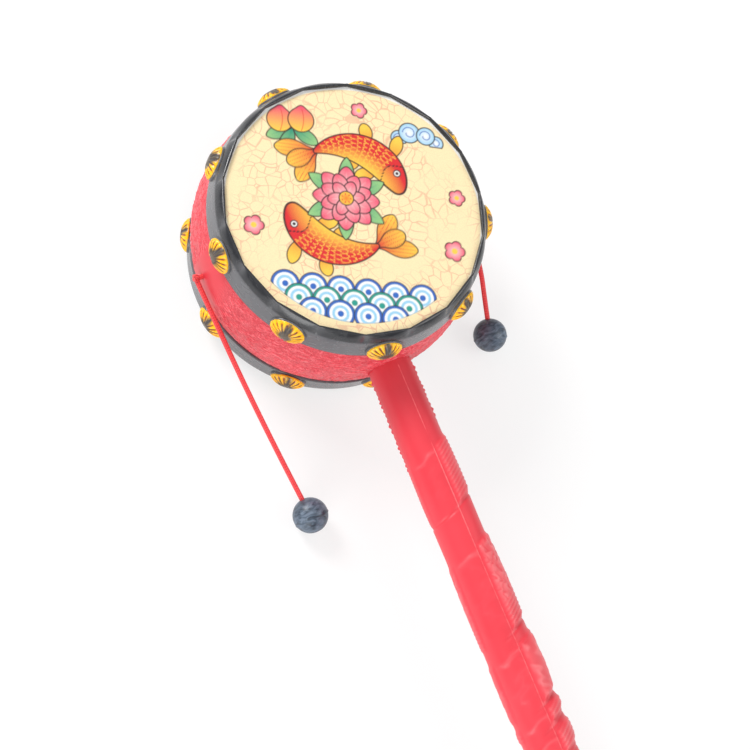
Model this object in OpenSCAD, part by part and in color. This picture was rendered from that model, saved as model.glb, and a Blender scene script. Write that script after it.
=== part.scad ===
// Pellet drum rattle: a short drum on a handle, with a pellet on a cord at each side
// Millimetres. The drum lies on its rear hoop at z = 0, +Z is its axis, the handle runs along -Y

/* [Drum] */
// Thickness over the crests of both hoops
drum_t = 52; // [47:0.5:58]
// Diameter of the barrel where the edge of a hoop meets it
seat_d = 90; // [86:0.5:95]
// Swell of the barrel between the hoops, on the radius
bulge = 3.2; // [2.4:0.1:4.2]
// Step of the barrel's band where it stands out beside a hoop's edge, on the radius
band_step = 0.7; // [0.5:0.1:0.9]
// Narrowing of the barrel under a hoop, on the radius
seat_taper = 1.5; // [1.3:0.1:1.7]
// Wall of the barrel
barrel_wall = 2; // [1.6:0.1:2.4]

/* [Hoops and skins] */
// Height of a hoop from its edge to its crest
hoop_h = 11.6; // [11:0.1:12.4]
// Thickness of a hoop's wall at its edge
hoop_wall = 1.45; // [1.3:0.05:1.7]
// Reach of a hoop's lip over the skin
lip = 1; // [0.8:0.1:1.3]
// Height of a hoop's crest above the skin
crest_h = 1.2; // [1:0.1:1.5]
// Thickness of a skin
skin_t = 0.6; // [0.4:0.1:0.9]

/* [Studs] */
// Studs around each hoop
stud_count = 9; // [8:1:10]
// Width of a stud's dome round the hoop
stud_d = 12; // [11:0.2:12.4]
// Height of a stud's dome along the hoop's wall
stud_h = 9.4; // [8.8:0.1:10]
// Rise of a stud's dome
stud_rise = 2.4; // [2:0.1:2.8]
// Depth of the stud centres under the crest
stud_drop = 7.4; // [7.2:0.1:7.6]
// Diameter of a stud's pin
pin_d = 2.4; // [2:0.1:3]
// Angle of the first front stud from +X
front_turn = 21; // [11:1:31]
// Angle of the first rear stud from +X
rear_turn = 33; // [23:1:43]

/* [Handle] */
// Distance from the drum's axis to the handle's end
handle_reach = 228; // [205:1:245]
// Diameter of the handle where it enters the barrel
neck_d = 14.6; // [13:0.2:16]
// Diameter of the handle along the grip
grip_d = 16.8; // [16.2:0.2:18.4]
// Wall of the handle's two half-shells
handle_wall = 2.2; // [1.8:0.1:2.6]
// Diameter of the flange inside the barrel
flange_d = 20; // [18:0.5:22]

/* [Cords and pellets] */
// Diameter of the cord
cord_d = 1.8; // [1.4:0.1:2]
// Diameter of a cord hole in the barrel
cord_hole_d = 2.6; // [2.4:0.1:3]
// Diameter of a pellet
pellet_d = 11.8; // [11:0.1:12.4]

/* [Fits] */
// Gap between pieces that are pushed together
fit = 0.05; // [0.03:0.01:0.1]
// Gap around pieces that move past each other
running = 0.35; // [0.3:0.05:0.5]

/* [Hidden] */
$fn = 64;
mid = drum_t / 2;
seat_r = seat_d / 2;
end_r = seat_r - seat_taper;
bulge_r = seat_r + bulge;
hoop_r = seat_r + fit + hoop_wall;
skin_z = drum_t - crest_h;
end_z = skin_z - skin_t;
edge_z = drum_t - hoop_h;
band_half = edge_z - mid - 0.1;
band_rise = bulge - band_step;
band_rho = (band_half * band_half + band_rise * band_rise) / (2 * band_rise);
flats = 2 * stud_count;
window_r = end_r - lip;
crest_r = window_r + 0.7;
shoulder_h = 3.6;
shoulder_r = hoop_r - 1.1;
boss_r = hoop_r - 0.05;
boss_rim = 0.2;
stud_tilt = atan((hoop_r - shoulder_r) / (hoop_h - 0.6 - shoulder_h));
pin_l = 1.8;
stud_ribs = 12;
stud_rings = [0.99, 0.88, 0.62, 0.3];
stud_groove = [0, 0.35, 0.45, 0.15];
pad_d = 6;
pad_rise = 0.4;
collar_rise = 0.15;
hub_l = seat_r - 4;
hub_d = flange_d + 4;
hub_t = 4.8;
flange_t = 2.6;
end_l = 8;
knot_r = 1.65;
pivot_r = bulge_r + pad_rise + knot_r + 0.25;
lead_start = knot_r + running;
fold_gap = cord_d / 2 + running + 0.05;
pellet_r = pellet_d / 2;
pellet_z = pellet_r + 0.25;
ridge_z = -1.2;
left_pivot = [-pivot_r, 0, mid];
left_fold = [-47, -26.5, mid - 7];
left_sag = [-42.6, -54, mid - 14.4];
left_end = [-38, -82.4, pellet_z];
right_pivot = [pivot_r, 0, mid];
right_fold = [50.5, -25, mid - 11.5];
right_sag = [49.5, -34.5, mid - 15.9];
right_end = [48.4, -44.2, pellet_z];

// Points of a bent line from a over b to c, taken as a quadratic curve
function bent(a, b, c, t) = (1 - t) * (1 - t) * a + 2 * t * (1 - t) * b + t * t * c;
function unit(v) = v / norm(v);

// One ring of points round a cord
function cord_ring(c, d, r, n) =
    let (s = unit(cross(d, [0, 0, 1])), u = cross(s, d))
    [for (i = [0:n - 1]) c + r * (cos(360 * i / n) * s + sin(360 * i / n) * u)];

// Turns the z axis to a direction
module point_along(v) {
    rotate([0, acos(v[2] / norm(v)), atan2(v[1], v[0])]) children();
}

// Turns a piece made for the front over to the rear
module to_rear() {
    translate([0, 0, drum_t]) mirror([0, 0, 1]) children();
}

// A cord swept along a list of points
module cord_tube(line, r) {
    n = 8;
    k = len(line);
    dirs = [for (i = [0:k - 1]) unit(line[min(i + 1, k - 1)] - line[max(i - 1, 0)])];
    rings = [for (i = [0:k - 1]) each cord_ring(line[i], dirs[i], r, n)];
    start_face = [[for (i = [n - 1:-1:0]) i]];
    end_face = [[for (i = [0:n - 1]) (k - 1) * n + i]];
    sides = [for (j = [0:k - 2]) for (i = [0:n - 1])
        let (a = j * n + i, b = j * n + (i + 1) % n)
        each [[a, b, b + n], [a, b + n, a + n]]];
    polyhedron(points = rings, faces = concat(start_face, end_face, sides));
}

// Half-section of the barrel's outside, moved inwards by a wall: two cones and the swelling band
module barrel_section(inset) {
    slope = (seat_r - end_r) / (end_z - edge_z + 0.1);
    polygon([[0, end_z], [end_r - inset, end_z], [end_r - inset + slope * (end_z - mid), mid],
        [end_r - inset, drum_t - end_z], [0, drum_t - end_z]]);
    intersection() {
        translate([bulge_r - band_rho, mid]) circle(r = band_rho - inset, $fn = 240);
        translate([seat_r / 2, mid - band_half]) square([seat_r, 2 * band_half]);
    }
}

// Red barrel with a hub for the handle, pads round its three holes and the holes themselves
module drum_barrel() {
    color([0.86, 0.08, 0.12])
    difference() {
        union() {
            difference() {
                rotate(38) rotate_extrude() barrel_section(0);
                rotate(38) rotate_extrude() barrel_section(barrel_wall);
                translate([0, 0, -1]) cylinder(r = end_r - barrel_wall, h = drum_t + 2);
            }
            translate([0, -hub_l, mid]) rotate([90, 0, 0]) cylinder(d = hub_d, h = hub_t);
            translate([0, barrel_wall / 2 - bulge_r, mid]) rotate([90, 0, 0])
                cylinder(d = neck_d + 1.8, h = barrel_wall / 2 + collar_rise);
            for (side = [-1, 1])
                translate([side * (bulge_r - barrel_wall / 2), 0, mid]) rotate([0, side * 90, 0])
                    cylinder(d = pad_d, h = barrel_wall / 2 + pad_rise);
        }
        translate([0, -hub_l / 2, mid]) rotate([90, 0, 0]) cylinder(d = neck_d + 2 * fit, h = bulge_r);
        translate([0, 0, mid]) rotate([0, 90, 0]) cylinder(d = cord_hole_d, h = 4 * bulge_r, center = true);
    }
}

// Oval outline of a stud, grown by a rim
function stud_outline(rim) =
    [for (i = [0:35]) [(stud_h / 2 + rim) * cos(10 * i), (stud_d / 2 + rim) * sin(10 * i)]];

// Seat of a stud on the front hoop's sloping wall, at angle 0
module at_stud() {
    translate([boss_r, 0, drum_t - stud_drop]) rotate([0, 90 - stud_tilt, 0]) children();
}

// Hoop on the front end, with its bosses at the given turn
module hoop(turn) {
    outer = [[0, edge_z], [hoop_r, edge_z], [hoop_r, edge_z + 0.6], [shoulder_r, drum_t - shoulder_h],
        [crest_r / cos(180 / flats) - 0.2, drum_t], [0, drum_t]];
    slope = (seat_r - end_r) / (end_z - edge_z + 0.1);
    fall = 2 * (shoulder_r - crest_r) / shoulder_h * 0.45;
    difference() {
        union() {
            difference() {
                rotate(turn + 7) rotate_extrude() polygon(outer);
                for (i = [0:flats - 1])
                    rotate(turn + i * 360 / flats) translate([crest_r, 0, drum_t])
                        rotate([0, -atan(fall), 0]) translate([0, -10, -8]) cube([6, 20, 16]);
            }
            intersection() {
                union() {
                    for (i = [0:stud_count - 1])
                        rotate(turn + i * 360 / stud_count) at_stud() translate([0, 0, -2.4])
                            linear_extrude(2.4) polygon(stud_outline(boss_rim));
                }
                translate([0, 0, edge_z + 0.3]) cylinder(r = 2 * hoop_r, h = hoop_h + 5);
            }
        }
        translate([0, 0, edge_z - 1])
            cylinder(r1 = end_r + fit + slope * (end_z - edge_z + 1), r2 = end_r + fit, h = end_z - edge_z + 1);
        translate([0, 0, end_z - 0.5]) cylinder(r = end_r + fit, h = skin_t + 0.5);
        rotate(turn + 180 / flats) linear_extrude(drum_t + 5)
            polygon([for (i = [0:flats - 1]) window_r / cos(180 / flats) * [cos(i * 360 / flats), sin(i * 360 / flats)]]);
        for (i = [0:stud_count - 1])
            rotate(turn + i * 360 / stud_count) at_stud() translate([0, 0, -pin_l - 1])
                cylinder(d = pin_d, h = pin_l + 3);
    }
}

// One stud with its dome ribbed like a shell, about its own axis
module stud() {
    n = 2 * stud_ribs;
    dome_r = (stud_d * stud_d / 4 + stud_rise * stud_rise) / (2 * stud_rise);
    pin_r = pin_d / 2 - fit;
    rise = [for (r = stud_rings) sqrt(dome_r * dome_r - r * r * stud_d * stud_d / 4) + stud_rise - dome_r];
    rings = concat(
        [for (i = [0:n - 1]) [pin_r * cos(360 * i / n), pin_r * sin(360 * i / n), -pin_l]],
        [for (i = [0:n - 1]) [pin_r * cos(360 * i / n), pin_r * sin(360 * i / n), 0]],
        [for (i = [0:n - 1]) [stud_h / 2 * cos(360 * i / n), stud_d / 2 * sin(360 * i / n), 0]],
        [for (k = [0:len(stud_rings) - 1]) for (i = [0:n - 1])
            let (r = stud_rings[k] / 2, z = rise[k] + (i % 2 == 0 ? 0 : -stud_groove[k]))
            [r * stud_h * cos(360 * i / n), r * stud_d * sin(360 * i / n), max(z, 0.25)]],
        [[0, 0, stud_rise]]);
    rows = 3 + len(stud_rings);
    tip = rows * n;
    bottom = [[for (i = [0:n - 1]) i]];
    sides = [for (j = [0:rows - 2]) for (i = [0:n - 1])
        let (a = j * n + i, b = j * n + (i + 1) % n)
        each [[a, a + n, b + n], [a, b + n, b]]];
    top = [for (i = [0:n - 1]) [(rows - 1) * n + i, tip, (rows - 1) * n + (i + 1) % n]];
    polyhedron(points = rings, faces = concat(bottom, sides, top));
}

// Ring of gold studs for the front hoop
module studs(turn) {
    for (i = [0:stud_count - 1])
        rotate(turn + i * 360 / stud_count) at_stud() stud();
}

module front_hoop() { color([0.13, 0.13, 0.14]) hoop(front_turn); }

module rear_hoop() { color([0.13, 0.13, 0.14]) to_rear() hoop(rear_turn); }

module front_studs() { color([0.9, 0.66, 0.16]) studs(front_turn); }

module rear_studs() { color([0.9, 0.66, 0.16]) to_rear() studs(rear_turn); }

module front_skin() {
    color([0.98, 0.94, 0.82]) translate([0, 0, end_z]) cylinder(r = end_r, h = skin_t);
}

module rear_skin() {
    color([0.98, 0.94, 0.82]) to_rear() translate([0, 0, end_z]) cylinder(r = end_r, h = skin_t);
}

// Handle as one form along z, before it is split
module handle_form() {
    neck_r = neck_d / 2;
    grip_r = grip_d / 2;
    top_l = bulge_r + 2;
    span = handle_reach - end_l - top_l;
    outer = concat([[0, hub_l - flange_t], [flange_d / 2, hub_l - flange_t], [flange_d / 2, hub_l], [neck_r, hub_l],
        [neck_r, top_l], [neck_r + 0.35 * (grip_r - neck_r), top_l + 0.16 * span],
        [neck_r + 0.65 * (grip_r - neck_r), top_l + 0.27 * span], [grip_r - 0.1, top_l + 0.48 * span],
        [grip_r, top_l + 0.57 * span]],
        [for (a = [0:15:90]) [grip_r * cos(a), handle_reach - end_l + end_l * sin(a)]]);
    cavity = [[0, hub_l + 4], [neck_r - handle_wall, hub_l + 4], [neck_r - handle_wall, top_l + 0.1 * span],
        [grip_r - handle_wall - 0.2, top_l + 0.55 * span], [grip_r - handle_wall - 0.2, handle_reach - end_l - 2],
        [0, handle_reach - end_l]];
    difference() {
        rotate_extrude() polygon(outer);
        rotate_extrude() polygon(cavity);
    }
    for (i = [0:2])
        translate([0, 0, top_l + span * (0.15 + 0.33 * i)]) rotate([0, 90, 0])
            cylinder(d = 6, h = neck_d - handle_wall, center = true);
}

// Places of the pegs that join the half-shells
module at_pegs() {
    top_l = bulge_r + 2;
    span = handle_reach - end_l - top_l;
    for (i = [0:2])
        translate([0, 0, top_l + span * (0.15 + 0.33 * i)]) children();
}

module handle_left() {
    color([0.86, 0.08, 0.12]) translate([0, 0, mid]) rotate([90, 0, 0]) {
        intersection() {
            handle_form();
            translate([-200, -100, 0]) cube([200, 200, 300]);
        }
        at_pegs() translate([-1, 0, 0]) rotate([0, 90, 0]) cylinder(d = 2.6, h = 4);
    }
}

module handle_right() {
    color([0.86, 0.08, 0.12]) translate([0, 0, mid]) rotate([90, 0, 0])
    difference() {
        intersection() {
            handle_form();
            translate([0, -100, 0]) cube([200, 200, 300]);
        }
        at_pegs() translate([-1, 0, 0]) rotate([0, 90, 0]) cylinder(d = 2.6 + 2 * fit, h = 4.4);
    }
}

// A small knot about its own centre
module knot() {
    sphere(r = knot_r * 0.72);
    rotate([25, 0, 0]) rotate_extrude() translate([knot_r * 0.62, 0]) circle(r = knot_r * 0.38);
}

module inner_cord() {
    color([0.75, 0.08, 0.12]) translate([0, 0, mid]) rotate([0, 90, 0])
        cylinder(d = cord_d, h = 2 * (pivot_r - lead_start), center = true);
}

// The first stretch of a cord, from its knot to the place where it folds
module cord_lead(pivot, fold) {
    way = unit(fold - pivot);
    color([0.75, 0.08, 0.12]) {
        cord_tube([for (i = [0:5]) pivot + way * (lead_start + (norm(fold - pivot) - lead_start) * i / 5)], cord_d / 2);
        translate(fold) sphere(r = cord_d / 2);
    }
}

// The second stretch of a cord, from the fold to the knot at the pellet's far end
module cord_fall(fold, sag, end) {
    first = fold + unit(sag - fold) * fold_gap;
    last = end + unit(end - sag) * (pellet_r - 3.4);
    color([0.75, 0.08, 0.12])
        cord_tube([for (i = [0:10]) bent(first, 2 * sag - (first + last) / 2, last, i / 10)], cord_d / 2);
}

// A pellet with a parting ridge, bored for its cord and with room for the end knot
module pellet(sag, end) {
    color([0.1, 0.13, 0.27]) translate(end) point_along(sag - end)
    difference() {
        union() {
            sphere(r = pellet_r);
            translate([0, 0, ridge_z - 0.25]) cylinder(r = pellet_r + 0.05, h = 0.5);
        }
        translate([0, 0, -pellet_d]) cylinder(d = cord_d + 0.5, h = 2 * pellet_d);
        translate([0, 0, -pellet_d]) cylinder(r = knot_r + 0.3, h = pellet_d - pellet_r + 3.7);
        translate([0, 0, pellet_r - 0.5]) cylinder(d1 = cord_d + 0.5, d2 = cord_d + 2.5, h = 1);
    }
}

module end_knot(sag, end) {
    color([0.75, 0.08, 0.12]) translate(end) point_along(sag - end)
        translate([0, 0, knot_r + 0.25 - pellet_r]) knot();
}

module left_hole_knot() { color([0.75, 0.08, 0.12]) translate(left_pivot) rotate([0, 90, 0]) knot(); }

module left_cord_lead() { cord_lead(left_pivot, left_fold); }

module left_cord_fall() { cord_fall(left_fold, left_sag, left_end); }

module left_pellet() { pellet(left_sag, left_end); }

module left_end_knot() { end_knot(left_sag, left_end); }

module right_hole_knot() { color([0.75, 0.08, 0.12]) translate(right_pivot) rotate([0, 90, 0]) knot(); }

module right_cord_lead() { cord_lead(right_pivot, right_fold); }

module right_cord_fall() { cord_fall(right_fold, right_sag, right_end); }

module right_pellet() { pellet(right_sag, right_end); }

module right_end_knot() { end_knot(right_sag, right_end); }

drum_barrel();
front_hoop();
rear_hoop();
front_skin();
rear_skin();
front_studs();
rear_studs();
handle_left();
handle_right();
inner_cord();
left_hole_knot();
left_cord_lead();
left_cord_fall();
left_pellet();
left_end_knot();
right_hole_knot();
right_cord_lead();
right_cord_fall();
right_pellet();
right_end_knot();
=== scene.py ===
import math

import bpy
import bmesh
import numpy as np
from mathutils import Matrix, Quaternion, Vector


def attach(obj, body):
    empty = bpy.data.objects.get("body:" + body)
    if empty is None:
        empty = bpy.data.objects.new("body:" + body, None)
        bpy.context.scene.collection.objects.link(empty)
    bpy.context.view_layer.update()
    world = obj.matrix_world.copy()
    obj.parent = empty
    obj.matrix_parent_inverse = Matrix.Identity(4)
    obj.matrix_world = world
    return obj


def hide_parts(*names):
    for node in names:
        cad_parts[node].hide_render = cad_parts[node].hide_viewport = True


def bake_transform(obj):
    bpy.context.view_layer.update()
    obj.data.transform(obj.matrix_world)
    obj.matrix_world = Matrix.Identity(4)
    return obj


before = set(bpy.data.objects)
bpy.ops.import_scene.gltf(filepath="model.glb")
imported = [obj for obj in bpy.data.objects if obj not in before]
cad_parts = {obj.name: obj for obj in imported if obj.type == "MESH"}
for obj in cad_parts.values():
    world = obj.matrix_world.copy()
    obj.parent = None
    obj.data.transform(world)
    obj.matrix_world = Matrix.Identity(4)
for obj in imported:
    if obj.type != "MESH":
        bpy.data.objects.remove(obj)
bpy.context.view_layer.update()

# Sizes that the solids hold too, in metres
mid_height = 0.026
drum_height = 0.052
seat_radius = 0.045
end_radius = 0.0435
end_height = 0.0502
bulge_radius = 0.0482
barrel_wall = 0.002
hoop_radius = 0.0465
hoop_edge = 0.0404
shoulder_radius = 0.0454
shoulder_height = 0.0484
crest_apothem = 0.0432
window_apothem = 0.0425
skin_top = 0.0508
skin_thick = 0.0006
stud_height = 0.0446
stud_half_width = 0.006
stud_half_height = 0.0047
stud_rise = 0.0024
stud_seat = 0.04645
stud_tilt = math.radians(8.45)
stud_count = 9
band_half = 0.0143
band_step = 0.0007
handle_reach = 0.228
neck_radius = 0.0073
front_turn = math.radians(21)
rear_turn = math.radians(33)
cord_radius = 0.0009
pellet_radius = 0.0059
knot_radius = 0.00165

# Finer sizes of the yarn: spacing of points, one turn of a strand, a knot's strand
cord_step = 0.0004
braid_pitch = 0.0072
knot_strand = 0.00058

# The cords' route, the same points as in the solids
left_pivot = Vector((-0.0505, 0.0, 0.026))
left_fold = Vector((-0.047, -0.0265, 0.019))
left_sag = Vector((-0.0426, -0.054, 0.0116))
left_end = Vector((-0.038, -0.0824, 0.00615))
right_pivot = Vector((0.0505, 0.0, 0.026))
right_fold = Vector((0.0505, -0.025, 0.0145))
right_sag = Vector((0.0495, -0.0345, 0.0101))
right_end = Vector((0.0484, -0.0442, 0.00615))


# Meshes

def placed(name, data):
    """A new object in the scene"""
    made = bpy.data.objects.new(name, data)
    bpy.context.collection.objects.link(made)
    return made


def shown_piece(name, points, faces, material):
    """One mesh object at the origin, smooth, with its material"""
    mesh = bpy.data.meshes.new(name)
    mesh.from_pydata([tuple(p) for p in points], [], [tuple(f) for f in faces])
    mesh.update()
    mesh.shade_smooth()
    mesh.materials.append(material)
    return placed(name, mesh)


def full_turn(count):
    """Even angles round a circle, as one row"""
    return np.linspace(0.0, 2 * math.pi, count, endpoint=False)[None, :]


def loft_faces(loops, around, closed_along=False):
    """Quads between loops of the same number of points, each loop closed on itself"""
    faces = []
    for i in range(loops if closed_along else loops - 1):
        a = i * around
        b = ((i + 1) % loops) * around
        for j in range(around):
            k = (j + 1) % around
            faces.append((a + j, a + k, b + k, b + j))
    return faces


def capped_faces(loops, around):
    """A loft's quads with a cap at both ends"""
    last = (loops - 1) * around
    return loft_faces(loops, around) + [tuple(range(around))[::-1], tuple(range(last, last + around))]


def turned_points(reach, level, angle):
    """Points of rows turned round an upright axis, by radius and height"""
    spots = np.broadcast_arrays(reach * np.cos(angle), reach * np.sin(angle), level)
    return np.stack(spots, axis=-1).reshape(-1, 3)


def turned_ring(name, reach, level, angle, material):
    """A ring whose rows close on themselves"""
    faces = loft_faces(len(reach), angle.size, closed_along=True)
    return shown_piece(name, turned_points(reach, level, angle), faces, material)


def outward(piece, sharp=None):
    """Merges doubles and turns every face outwards; edges over an angle in degrees stay sharp"""
    work = bmesh.new()
    work.from_mesh(piece.data)
    bmesh.ops.remove_doubles(work, verts=work.verts, dist=1e-7)
    bmesh.ops.recalc_face_normals(work, faces=work.faces)
    work.to_mesh(piece.data)
    work.free()
    if sharp:
        piece.data.set_sharp_from_angle(angle=math.radians(sharp))
    return piece


def applied(piece):
    """Keeps the result of a piece's modifiers as its plain mesh"""
    graph = bpy.context.evaluated_depsgraph_get()
    result = bpy.data.meshes.new_from_object(piece.evaluated_get(graph))
    piece.modifiers.clear()
    piece.data = result
    return piece


def unit(rows):
    """Directions of length 1"""
    return rows / np.linalg.norm(rows, axis=1)[:, None]


def float_layer(piece, name, values):
    """A number for each point of a mesh, for its material to read"""
    layer = piece.data.attributes.new(name, "FLOAT", "POINT")
    layer.data.foreach_set("value", np.asarray(values, dtype=np.float32).ravel())


def fitted(piece, body, slot, *nodes):
    """Fixes a piece to its body and hides the solids it stands for; the slot is not used"""
    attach(piece, body)
    if nodes:
        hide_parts(*nodes)
    return piece


def smooth_step(low, high, value):
    """0 below low, 1 above high, smooth between"""
    t = np.clip((value - low) / (high - low), 0.0, 1.0)
    return t * t * (3 - 2 * t)


def between(start, full, fall, stop, value):
    """1 from full to fall, smooth down to 0 at start and stop"""
    return smooth_step(start, full, value) * (1 - smooth_step(fall, stop, value))


# Nodes

def feed(tree, socket, value):
    """Links a socket to an output, or gives it a plain value"""
    if isinstance(value, bpy.types.NodeSocket):
        tree.links.new(value, socket)
    elif socket.type == "RGBA":
        socket.default_value = (*value, 1.0)
    else:
        socket.default_value = value


def fill(tree, made, **values):
    """Gives a node its settings, and its inputs by name"""
    for key, value in values.items():
        if hasattr(made, key):
            setattr(made, key, value)
        else:
            feed(tree, made.inputs[key.replace("_", " ")], value)


def node(tree, kind, *fed, **values):
    """A node with its settings, and its inputs by name or in their order"""
    made = tree.nodes.new(kind)
    fill(tree, made, **values)
    for socket, value in zip(made.inputs, fed):
        feed(tree, socket, value)
    return made


def sums(tree, operation, *values):
    """One Math node on sockets or numbers"""
    return node(tree, "ShaderNodeMath", *values, operation=operation).outputs[0]


# Materials

def finish_named(name):
    """A new material with its shader, ready for nodes"""
    material = bpy.data.materials.new(name)
    material.use_nodes = True
    tree = material.node_tree
    tree.nodes.clear()
    shader = node(tree, "ShaderNodeBsdfPrincipled")
    node(tree, "ShaderNodeOutputMaterial", Surface=shader.outputs["BSDF"])
    return material, tree, shader


def finished(name, look):
    """A new material whose shader takes its inputs from a look"""
    material, tree, shader = finish_named(name)
    fill(tree, shader, **look(tree))
    return material


def ramp(tree, factor, *stops):
    """A colour ramp on a factor; a plain number at a stop is a grey"""
    made = node(tree, "ShaderNodeValToRGB", factor)
    elements = made.color_ramp.elements
    while len(elements) < len(stops):
        elements.new(0.5)
    for element, (place, colour) in zip(elements, stops):
        element.position = place
        element.color = (*colour, 1.0) if isinstance(colour, tuple) else (colour, colour, colour, 1.0)
    return made.outputs["Color"]


def object_noise(tree, scale, detail, stretch=(1.0, 1.0, 1.0), bend=0.0):
    """Noise on Object coordinates, stretched along the axes"""
    place = node(tree, "ShaderNodeTexCoord").outputs["Object"]
    size = node(tree, "ShaderNodeMapping", Vector=place, Scale=stretch).outputs["Vector"]
    cloud = node(tree, "ShaderNodeTexNoise", Vector=size, Scale=scale, Detail=detail, Distortion=bend)
    return cloud.outputs["Fac"]


def layer_value(tree, name):
    """A number stored on the mesh"""
    return node(tree, "ShaderNodeAttribute", attribute_name=name).outputs["Fac"]


def blended(tree, factor, first, second, kind="MIX"):
    """Two colours mixed by a factor"""
    made = node(tree, "ShaderNodeMix", factor, data_type="RGBA", blend_type=kind)
    feed(tree, made.inputs[6], first)
    feed(tree, made.inputs[7], second)
    return made.outputs[2]


def bumped(tree, height, strength, depth):
    """A normal with fine bumps from a height"""
    return node(tree, "ShaderNodeBump", Height=height, Strength=strength, Distance=depth).outputs["Normal"]


def moulded_red(tree):
    """Red moulded plastic: painted highlight on raised relief and flash lines, painted shadow on the handle
    next to the drum, and fine strokes of painted highlight and shade where cast rough
    """
    cast = layer_value(tree, "cast")
    # The mesh's number paints highlight on raised relief, crests and flash lines; its low values give
    # painted shadow
    base = ramp(tree, layer_value(tree, "painted_highlight_and_shadow"), (0.0, (0.68, 0.032, 0.050)),
                (0.3, (0.79, 0.047, 0.068)), (1.0, (0.90, 0.22, 0.235)))
    strokes = object_noise(tree, 760.0, 4.0, (1.0, 1.0, 1.8), 2.2)
    # Painted highlight on the high parts of the fine strokes and painted shade in their low parts, only
    # where cast rough
    painted_stroke_highlight = sums(tree, "MULTIPLY", ramp(tree, strokes, (0.53, 0.0), (0.62, 0.55)), cast)
    painted_stroke_shade = sums(tree, "MULTIPLY", ramp(tree, strokes, (0.38, 0.8), (0.47, 0.0)), cast)
    colour = blended(tree, painted_stroke_highlight, base, (0.93, 0.24, 0.28))
    colour = blended(tree, painted_stroke_shade, colour, (0.50, 0.014, 0.030))
    cloud = object_noise(tree, 60.0, 2.0)
    shade = ramp(tree, cloud, (0.3, 0.93), (0.7, 1.0))
    fine = sums(tree, "MULTIPLY", object_noise(tree, 1400.0, 2.0), 0.12)
    height = sums(tree, "ADD", sums(tree, "MULTIPLY", strokes, cast), fine)
    return dict(Base_Color=blended(tree, 1.0, colour, shade, "MULTIPLY"),
                Roughness=ramp(tree, cloud, (0.3, 0.36), (0.75, 0.46)),
                Normal=bumped(tree, height, 0.55, 0.00025))


def moulded_black(tree):
    """Black moulded plastic: near black on the bevel, with a painted grey reflection on the wall and
    painted glints at the bevel's cusps
    """
    marks = object_noise(tree, 260.0, 4.0, (1.0, 1.0, 1.8), 0.8)
    # The wall's lighter grey is painted reflection; the bevel keeps the plastic's near black
    wall = ramp(tree, marks, (0.35, (0.103, 0.104, 0.113)), (0.62, (0.112, 0.113, 0.122)),
                (0.8, (0.126, 0.127, 0.136)))
    bevel = ramp(tree, marks, (0.35, (0.020, 0.021, 0.025)), (0.62, (0.028, 0.029, 0.033)),
                 (0.8, (0.052, 0.052, 0.056)))
    # The mesh's number is 1 on the bevel and falls towards 0 near the cusps and on the wall, where the
    # painted glints and reflection are laid
    return dict(Base_Color=blended(tree, layer_value(tree, "free_of_painted_reflection"), wall, bevel),
                Roughness=ramp(tree, marks, (0.3, 0.20), (0.8, 0.34)), Specular_IOR_Level=0.6,
                Normal=bumped(tree, object_noise(tree, 1500.0, 2.0), 0.12, 0.0001))


def worn_gold(tree):
    """Gold paint with painted shade in the grooves, rubbed to the dark plastic at the middle"""
    patch = object_noise(tree, 430.0, 3.0, (1.0, 1.0, 0.7), 0.8)
    # Painted shade: the gold darkens to brown in the grooves between the ribs
    streak = sums(tree, "MULTIPLY", layer_value(tree, "painted_groove_shade"), patch)
    paint = ramp(tree, streak, (0.0, (0.98, 0.56, 0.012)), (0.12, (0.95, 0.44, 0.010)),
                 (0.28, (0.60, 0.18, 0.008)), (0.44, (0.14, 0.06, 0.014)))
    worn = sums(tree, "ADD", patch, object_noise(tree, 55.0, 1.0))
    middle = sums(tree, "MULTIPLY", layer_value(tree, "centre"), 0.9)
    rub = sums(tree, "ADD", middle, sums(tree, "MULTIPLY", worn, 0.42))
    bare = ramp(tree, rub, (0.74, 0.0), (0.98, 0.95))
    return dict(Base_Color=blended(tree, bare, paint, (0.050, 0.051, 0.056)),
                Roughness=ramp(tree, patch, (0.3, 0.22), (0.75, 0.38)),
                Normal=bumped(tree, patch, 0.25, 0.00015))


def printed_plastic(tree):
    """White plastic sheet with printed inks, and a pale rose net of lines on the bare cream ground"""
    ink = node(tree, "ShaderNodeAttribute", attribute_name="ink").outputs["Color"]
    place = node(tree, "ShaderNodeTexCoord").outputs["Object"]
    drift = node(tree, "ShaderNodeTexNoise", Vector=place, Scale=60.0, Detail=2.0).outputs["Color"]
    move = node(tree, "ShaderNodeVectorMath", drift, (0.012, 0.012, 0.0), place, operation="MULTIPLY_ADD")
    cells = node(tree, "ShaderNodeTexVoronoi", move.outputs[0], feature="DISTANCE_TO_EDGE", Scale=300.0)
    line = ramp(tree, cells.outputs["Distance"], (0.020, 1.0), (0.060, 0.0))
    patches = object_noise(tree, 38.0, 2.0)
    drawn = sums(tree, "MULTIPLY", line, ramp(tree, patches, (0.40, 0.0), (0.52, 0.8)))
    on_ground = sums(tree, "MULTIPLY", drawn, layer_value(tree, "ground"))
    lined = blended(tree, on_ground, ink, (0.76, 0.43, 0.27))
    grain = ramp(tree, object_noise(tree, 2600.0, 2.0), (0.35, 0.90), (0.65, 1.0))
    return dict(Base_Color=blended(tree, 1.0, lined, grain, "MULTIPLY"),
                Roughness=ramp(tree, patches, (0.3, 0.34), (0.7, 0.44)))


def streaked_pellet(tree):
    """Slate-blue plastic with darker and paler scuffed streaks"""
    streak = object_noise(tree, 300.0, 5.0, (1.0, 2.4, 1.0), 1.2)
    base = ramp(tree, streak, (0.34, (0.026, 0.036, 0.054)), (0.50, (0.080, 0.110, 0.152)),
                (0.68, (0.145, 0.185, 0.245)))
    return dict(Base_Color=base, Roughness=ramp(tree, streak, (0.3, 0.30), (0.7, 0.5)),
                Normal=bumped(tree, streak, 0.3, 0.00015))


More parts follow.
